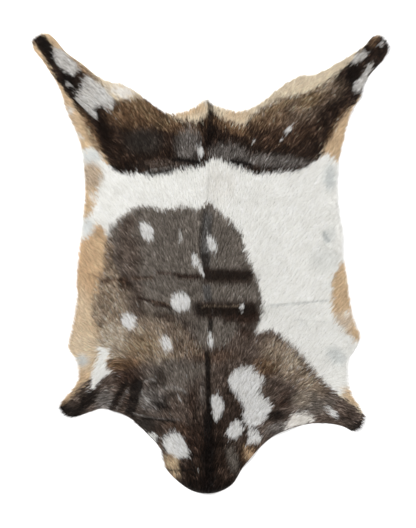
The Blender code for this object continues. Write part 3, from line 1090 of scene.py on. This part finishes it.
def mixed(tree, factor, first, second):
    """Colour between two others, each a socket or a plain colour."""
    node = add(tree, "ShaderNodeMix", data_type="RGBA")
    for number, value in zip(COLOUR_INPUTS, (factor, first, second)):
        fill(tree, node.inputs[number], value)
    return node.outputs[COLOUR_OUTPUT]


def noise_node(tree, place, scale, detail):
    node = add(tree, "ShaderNodeTexNoise", Vector=place, Scale=scale, Detail=detail)
    return node.outputs["Fac"]


def ranged(tree, value, start, end=(0.0, 1.0)):
    """A value that runs from one end to the other while the given one crosses its range."""
    ends = dict(zip(("From Min", "From Max", "To Min", "To Max"), (*start, *end)))
    return add(tree, "ShaderNodeMapRange", Value=value, **ends).outputs["Result"]


def hide_material():
    material, tree, inputs = new_material("goat leather")
    place = add(tree, "ShaderNodeTexCoord").outputs["Object"]
    tint = attribute(tree, "tint", "Color")
    blotch = ranged(tree, noise_node(tree, place, BLOTCH_SCALE, BLOTCH_DETAIL), BLOTCH_RANGE)
    nap = noise_node(tree, place, NAP_SCALE, NAP_DETAIL)
    # Painted shade on the leather's top: the coat's tint mixed towards near black.
    down = mixed(tree, DOWN_SHADE, tint, DEEP_SHADE)
    suede = mixed(tree, blotch, CREAM, SMOKE)
    suede = mixed(tree, TINT_THROUGH, suede, tint)
    suede = mixed(tree, ranged(tree, nap, NAP_RANGE, (0.0, NAP_SHARE)), suede, NAP_COLOUR)
    bump = add(tree, "ShaderNodeBump", Strength=NAP_BUMP, Distance=NAP_HEIGHT, Height=nap)
    fill(tree, inputs["Base Color"], mixed(tree, attribute(tree, "flesh", "Fac"), down, suede))
    fill(tree, inputs["Roughness"], ranged(tree, blotch, (0.0, 1.0), SUEDE_ROUGHNESS))
    fill(tree, inputs["Normal"], bump.outputs["Normal"])
    return material


hide.data.materials.append(hide_material())
print("material:", hide.data.materials[0].name)

# %% [markdown]
# ## Roots, tufts and tips
#
# Real goat hair is a few hundredths of a millimetre thick, far too fine to model one by one.
# So each modelled hair stands for a wisp of them, about a millimetre wide at the root. Wisps
# stand in tufts, and the wisps of a tuft lean to one tip. Smaller groups, the strands, share
# a tone. Here every wisp gets its root on the leather, its tip, and its colour at both ends.

# %% Roots
WISP_PITCH = 1.425
TUFT_PITCH = 4.6
STRAND_PITCH = 2.3
ROOT_MARGIN = 0.5
WISP_SEED = 7
TUFT_SEED = 8
STRAND_SEED = 9


def wisp_roots():
    places = hex_places(WISP_PITCH, np.random.default_rng(WISP_SEED))
    return places[distance_inside(*places.T, edge_loop) > ROOT_MARGIN]


def nearest(places, others):
    """For each place, the number of the nearest of the others."""
    tree = KDTree(len(others))
    for number, (x, y) in enumerate(others):
        tree.insert((x, y, 0), number)
    tree.balance()
    return np.array([tree.find((x, y, 0))[1] for x, y in places])


roots = wisp_roots()
tufts = hex_places(TUFT_PITCH, np.random.default_rng(TUFT_SEED))
strands = hex_places(STRAND_PITCH, np.random.default_rng(STRAND_SEED))
tuft_of = nearest(roots, tufts)
strand_of = nearest(roots, strands)
print("wisps:", len(roots), "in", len(np.unique(tuft_of)), "tufts")

# %% Tips
WISP_LENGTH = 11.0
HOOF_LENGTH = 8.0
LENGTH_SPREAD = 0.14
TUFT_LEAN = 0.35
TUFT_TURN = 8.0
WISP_TURN = 4.0
CREASE_CUT = 0.4
FRINGE_PAST = 3.6
FRINGE_SPREAD = 1.0
FRINGE_ROUNDS = 2
FRINGE_REACH = 30.0
SHORTEST = 0.2
LEAST_STEP = 0.1
HOOVES = ((-350, 450), (350, 445), (-298, -292), (302, -322))
LEG_LENGTH = 150.0
DRAW_SEED = 21


def leg_share(x, y):
    """How far down a leg a place is, from 0 on the body to 1 at the hoof."""
    away = np.min([np.hypot(x - hoof_x, y - hoof_y) for hoof_x, hoof_y in HOOVES], axis=0)
    return ease(1 - away / LEG_LENGTH)


def wisp_tips(rng):
    """Tips in the plane: along the lay, drawn to the tuft's middle, and cut short at the rim."""
    x, y = roots.T
    tuft_x, tuft_y = tufts[tuft_of].T
    tuft_turn = rng.normal(0, TUFT_TURN, len(tufts))[tuft_of]
    tuft_length = rng.normal(1, LENGTH_SPREAD / 2, len(tufts))[tuft_of]
    turn = np.radians(tuft_turn + rng.normal(0, WISP_TURN, len(x)))
    lay_x, lay_y = lay_at(tuft_x, tuft_y)
    way_x = lay_x * np.cos(turn) + lay_y * np.sin(turn)
    way_y = lay_y * np.cos(turn) - lay_x * np.sin(turn)
    length = WISP_LENGTH + (HOOF_LENGTH - WISP_LENGTH) * leg_share(x, y)
    length = length * tuft_length * rng.normal(1, LENGTH_SPREAD, len(x))
    half_x, half_y = x + way_x * length / 2, y + way_y * length / 2
    creased = sum(crease_weight(half_x, half_y, row) * row.share for row in CREASES)
    length = length * (1 - CREASE_CUT * np.clip(creased, 0, 1))
    step_x = way_x * length + (tuft_x - x) * TUFT_LEAN
    step_y = way_y * length + (tuft_y - y) * TUFT_LEAN
    limit = -FRINGE_PAST + rng.uniform(-FRINGE_SPREAD, FRINGE_SPREAD, len(x))
    root_room = distance_inside(x, y, rim, FRINGE_REACH)
    for _ in range(FRINGE_ROUNDS):
        tip_room = distance_inside(x + step_x, y + step_y, rim, FRINGE_REACH)
        cut = (root_room - limit) / np.maximum(root_room - tip_room, LEAST_STEP)
        share = np.clip(np.where(tip_room < limit, cut, 1), SHORTEST, 1)
        step_x, step_y = step_x * share, step_y * share
    return np.column_stack((x + step_x, y + step_y))


wisp_rng = np.random.default_rng(DRAW_SEED)
tips = wisp_tips(wisp_rng)
print("mean length:", round(np.linalg.norm(tips - roots, axis=1).mean(), 1), "mm")

# %% Heights of the wisps
TIP_RISE = (0.72, 1.0)
ROOT_DEPTH = 0.25
LEAST_COAT = 0.4


def wisp_heights(rng):
    """Height of each root, just under the leather's top, and of each tip."""
    root_z = under.at(*roots.T) + LEATHER - ROOT_DEPTH
    rise = rng.uniform(*TIP_RISE, len(roots))
    coat = coat_depth.at(*tips.T) * rise + crease_lift(*tips.T)
    tip_z = under.at(*tips.T) + LEATHER + np.maximum(LEAST_COAT, coat)
    return root_z, tip_z


root_z, tip_z = wisp_heights(wisp_rng)
print("highest tip:", round(tip_z.max(), 1), "mm")

# %% Colours of the wisps
SHADE_LIFT = 1.5
TUFT_TONE = 0.35
STRAND_TONE = 0.6
WISP_TONE = 2.1
CLOUD_TONE = 1.2
CLOUD_SIZE = 10.0
CLOUD_SEED = 12
FLECK_TONE = 1.0
FLECK_SIZE = 1.9
FLECK_LENGTH = 1.8
FLECK_STRENGTH = 0.7
FLECK_SEED = 13
CHANGE_BY_CHANNEL = (0.97, 1.0, 1.03)
ROOT_DARK = 0.42
DARK_BY_MOTTLE = 5.0
TUFT_PICK = 0.55
SHOW_AT = 0.7
LAY_STRAY = 3.6
SIDE_STRAY = 0.9
# Painted shade: the coat is drawn darker within the rim shade reach of the rim.
RIM_SHADE = 0.12
RIM_SHADE_REACH = 30.0
BRIGHTEST = 0.93


def flecks(x, y):
    """Short light and dark streaks along the lay, mostly from -1 to 1."""
    way_x, way_y = lay_at(x, y)
    ends = [noise(x + way_x * shift, y + way_y * shift, FLECK_SIZE, FLECK_SEED)
            for shift in (-FLECK_LENGTH / 2, FLECK_LENGTH / 2)]
    return sum(ends) * FLECK_STRENGTH


def wisp_colours(rng):
    """Colour at the root and at the tip of each wisp."""
    tuft_pick = rng.uniform(0, 1, len(tufts))[tuft_of]
    pick = TUFT_PICK * tuft_pick + (1 - TUFT_PICK) * rng.uniform(0, 1, len(roots))
    step = tips - roots
    seen = roots + step * SHOW_AT
    way = step / np.linalg.norm(step, axis=1)[:, None]
    stray = rng.normal(0, LAY_STRAY, (len(strands), 1))[strand_of]
    stray_aside = rng.normal(0, SIDE_STRAY, (len(strands), 1))[strand_of]
    place = seen + (strands[strand_of] - roots) / 2
    place = place + way * stray + way[:, ::-1] * (-1, 1) * stray_aside
    painted = paint(*place.T, pick, *seen.T)
    colour, mottle = painted[:, :3], painted[:, 3]
    change = (
        rng.normal(0, TUFT_TONE, len(tufts))[tuft_of]
        + rng.normal(0, STRAND_TONE, len(strands))[strand_of]
        + rng.normal(0, WISP_TONE, len(roots))
        + CLOUD_TONE * noise(*seen.T, CLOUD_SIZE, CLOUD_SEED)
        + FLECK_TONE * flecks(*seen.T)
    )
    # Painted shade, darkest at the rim and gone a rim shade reach inside it.
    room = distance_inside(*seen.T, rim)
    shade = 1 - RIM_SHADE * (1 - ease(room / RIM_SHADE_REACH))
    change = np.exp((mottle * change)[:, None] * CHANGE_BY_CHANNEL)
    colour = np.clip((1 - (1 - colour) ** SHADE_LIFT) * change * shade[:, None], 0, BRIGHTEST)
    darker = (1 - ROOT_DARK) * np.minimum(1, mottle * DARK_BY_MOTTLE)
    return colour * (1 - darker[:, None]), colour


root_tint, tip_tint = wisp_colours(wisp_rng)
print("mean tint:", tip_tint.mean(0).round(2))

# %% [markdown]
# ## Growing the coat with Geometry Nodes
#
# One wisp is a slim three-sided spike, drawn once. Geometry Nodes set a copy on every root,
# point it from root to tip and stretch it to its length. The tree also gives each wisp a
# small square of its own in the piece's texture map, so the colours can be baked later.
# It ends in Realize Instances and Set Material, which leaves a plain mesh.

# %% Inputs of the tree, and short ways to add its nodes
TREE_INPUTS = (
    ("Roots", "Geometry", None),
    ("Root Width", "Float", 1.1 * MM),
    ("Root Height", "Float", 0.45 * MM),
    ("Roll", "Float", 0.5),
    ("Seed", "Int", 5),
    ("Squares", "Int", 200),
    ("Material", "Material", None),
)


def new_tree():
    tree = bpy.data.node_groups.new("hair coat", "GeometryNodeTree")
    for name, kind, value in TREE_INPUTS:
        socket = tree.interface.new_socket(name, in_out="INPUT", socket_type="NodeSocket" + kind)
        if value is not None:
            socket.default_value = value
    tree.interface.new_socket("Coat", in_out="OUTPUT", socket_type="NodeSocketGeometry")
    return tree


def maths(tree, operation, *values):
    node = add(tree, "ShaderNodeMath", operation=operation)
    for socket, value in zip(node.inputs, values):
        fill(tree, socket, value)
    return node.outputs[0]


def named(tree, name, kind):
    node = add(tree, "GeometryNodeInputNamedAttribute", data_type=kind, Name=name)
    return node.outputs["Attribute"]


def stored(tree, geometry, name, kind, domain, value):
    node = add(tree, "GeometryNodeStoreNamedAttribute", data_type=kind, domain=domain,
               Name=name, Geometry=geometry, Value=value)
    return node.outputs["Geometry"]


print("tree inputs:", [name for name, *_ in TREE_INPUTS])

# %% Node tree of the coat
CONE_SIZES = {"Vertices": 3, "Radius Top": 0.0, "Radius Bottom": 1.0, "Depth": 1.0}
SQUARE_REACH = 0.4
SQUARE_MIDDLE = 0.5
Z_AXIS = (0, 0, 1)
# The random value's sockets for plain numbers: least, most and result.
LEAST, MOST, DRAWN = 2, 3, 1


def wisp_shape(tree):
    """A three-sided cone of size 1, with its height and its own square stored on it."""
    cone = add(tree, "GeometryNodeMeshCone", **CONE_SIZES).outputs["Mesh"]
    place = add(tree, "GeometryNodeInputPosition").outputs[0]
    height = add(tree, "ShaderNodeSeparateXYZ", Vector=place).outputs["Z"]
    shape = stored(tree, cone, "along", "FLOAT", "POINT", height)
    return stored(tree, shape, "spot", "FLOAT_VECTOR", "POINT", place)


def wisp_turn(tree, given):
    """Points a wisp along its lay, flat side down, and rolls it a little at random."""
    align = "FunctionNodeAlignRotationToVector"
    point = add(tree, align, axis="Z", Vector=named(tree, "lay", "FLOAT_VECTOR"))
    stand = add(tree, align, axis="X", pivot_axis="Z", Rotation=point.outputs[0], Vector=Z_AXIS)
    roll = add(tree, "FunctionNodeRandomValue", data_type="FLOAT", Seed=given["Seed"])
    fill(tree, roll.inputs[LEAST], maths(tree, "MULTIPLY", given["Roll"], -1.0))
    fill(tree, roll.inputs[MOST], given["Roll"])
    angle = roll.outputs[DRAWN]
    twist = add(tree, "FunctionNodeAxisAngleToRotation", Axis=Z_AXIS, Angle=angle)
    turned = add(tree, "FunctionNodeRotateRotation", rotation_space="LOCAL",
                 Rotation=stand.outputs[0], **{"Rotate By": twist.outputs[0]})
    return turned.outputs[0]


def wisp_size(tree, given):
    """Stretches a wisp to its length, and to the height and the width of its root."""
    wide = named(tree, "wide", "FLOAT")
    high = maths(tree, "MULTIPLY", given["Root Height"], wide)
    half = maths(tree, "DIVIDE", given["Root Width"], 3**0.5)
    size = add(tree, "ShaderNodeCombineXYZ", X=high, Y=maths(tree, "MULTIPLY", half, wide),
               Z=named(tree, "long", "FLOAT"))
    return size.outputs[0]


def square_map(tree, geometry, squares):
    """Puts each wisp's corners in its own square of the texture map."""
    number = named(tree, "number", "INT")
    column = maths(tree, "FLOORED_MODULO", number, squares)
    row = maths(tree, "FLOOR", maths(tree, "DIVIDE", number, squares))
    spot = add(tree, "ShaderNodeSeparateXYZ", Vector=named(tree, "spot", "FLOAT_VECTOR"))
    sides = {}
    for side, start in (("X", column), ("Y", row)):
        inside = maths(tree, "MULTIPLY_ADD", spot.outputs[side], SQUARE_REACH, SQUARE_MIDDLE)
        sides[side] = maths(tree, "DIVIDE", maths(tree, "ADD", start, inside), squares)
    place = add(tree, "ShaderNodeCombineXYZ", **sides).outputs[0]
    return stored(tree, geometry, "OFBake", "FLOAT2", "CORNER", place)


def coat_tree():
    tree = new_tree()
    given = add(tree, "NodeGroupInput").outputs
    plant = add(tree, "GeometryNodeInstanceOnPoints", Points=given["Roots"],
                Instance=wisp_shape(tree), Rotation=wisp_turn(tree, given),
                Scale=wisp_size(tree, given))
    real = add(tree, "GeometryNodeRealizeInstances", Geometry=plant.outputs[0])
    squares = square_map(tree, real.outputs[0], given["Squares"])
    finish = add(tree, "GeometryNodeSetMaterial", Geometry=squares, Material=given["Material"])
    add(tree, "NodeGroupOutput", Coat=finish.outputs[0])
    return tree


coat_nodes = coat_tree()
print("node tree:", coat_nodes.name, "with", len(coat_nodes.nodes), "nodes")

# %% [markdown]
# ## Hair material
#
# A wisp is darker near its root, where little light comes in, and takes its own colour
# towards the tip. Both colours ride on the mesh, so one material serves the whole coat.

# %% Hair material
HAIR_ROUGHNESS = 0.42
HAIR_SPECULAR = 0.1
TINT_CHANGE = (0.2, 0.85)


def hair_material():
    material, tree, inputs = new_material("goat hair")
    fill(tree, inputs["Roughness"], HAIR_ROUGHNESS)
    fill(tree, inputs["Specular IOR Level"], HAIR_SPECULAR)
    along = ranged(tree, attribute(tree, "along", "Fac"), TINT_CHANGE)
    root, tip = [attribute(tree, name, "Color") for name in ("root_tint", "tip_tint")]
    fill(tree, inputs["Base Color"], mixed(tree, along, root, tip))
    return material


hair = hair_material()
print("material:", hair.name)

# %% Pieces of the coat
COAT_NAMES = ("coat_neck", "coat_shoulders", "coat_ribs", "coat_loin", "coat_rump")
SCRATCH_NAMES = ("lay", "long", "wide", "number", "spot")
WIDTH_SPREAD = (0.6, 1.2)
WIDTH_SEED = 33


def root_mesh(rows, rng):
    """The roots of one piece as loose points, with what the tree needs stored on them."""
    start = np.column_stack((roots[rows], root_z[rows])) * MM
    way = np.column_stack((tips[rows], tip_z[rows])) * MM - start
    mesh = bpy.data.meshes.new("roots")
    mesh.from_pydata(start.tolist(), [], [])
    ones = np.ones(len(rows))
    values = (
        ("lay", "FLOAT_VECTOR", "vector", way),
        ("long", "FLOAT", "value", np.linalg.norm(way, axis=1)),
        ("wide", "FLOAT", "value", rng.uniform(*WIDTH_SPREAD, len(rows))),
        ("number", "INT", "value", np.arange(len(rows), dtype=np.int32)),
        ("root_tint", "FLOAT_COLOR", "color", np.column_stack((root_tint[rows], ones))),
        ("tip_tint", "FLOAT_COLOR", "color", np.column_stack((tip_tint[rows], ones))),
    )
    for name, kind, field, value in values:
        mesh.attributes.new(name, kind, "POINT").data.foreach_set(field, np.ravel(value))
    return mesh


def grow(name, rows, rng):
    """One finished piece of the coat, as a plain mesh."""
    soil = bpy.data.objects.new("soil", root_mesh(rows, rng))
    bpy.context.scene.collection.objects.link(soil)
    modifier = soil.modifiers.new("coat", "NODES")
    modifier.node_group = coat_nodes
    given = {"Squares": int(np.ceil(len(rows) ** 0.5)), "Material": hair}
    for item in coat_nodes.interface.items_tree:
        if item.in_out == "INPUT" and item.name in given:
            modifier[item.identifier] = given[item.name]
    graph = bpy.context.evaluated_depsgraph_get()
    mesh = bpy.data.meshes.new_from_object(soil.evaluated_get(graph), depsgraph=graph)
    bpy.data.objects.remove(soil)
    for scratch in SCRATCH_NAMES:
        mesh.attributes.remove(mesh.attributes[scratch])
    mesh.name = name
    piece = bpy.data.objects.new(name, mesh)
    bpy.context.scene.collection.objects.link(piece)
    return piece


def coat_pieces():
    """The coat in equal shares of its wisps, from the neck to the rump."""
    rng = np.random.default_rng(WIDTH_SEED)
    order = np.argsort(roots[:, 1], kind="stable")
    shares = np.array_split(order, len(COAT_NAMES))
    return [grow(name, rows, rng) for name, rows in zip(COAT_NAMES, shares)]


coats = coat_pieces()
for coat in coats:
    coat.data.calc_loop_triangles()
    print(coat.name, len(coat.data.loop_triangles), "triangles")

# %% [markdown]
# ## Attaching the pieces
#
# The hide lies on the floor and the coat goes with it. Both are attached to the solid's body
# and stand for the plain solid, which is hidden.

# %% Attach the pieces and hide the solid
for piece in (hide, *coats):
    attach(piece, "root")
    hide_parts("goatskin")
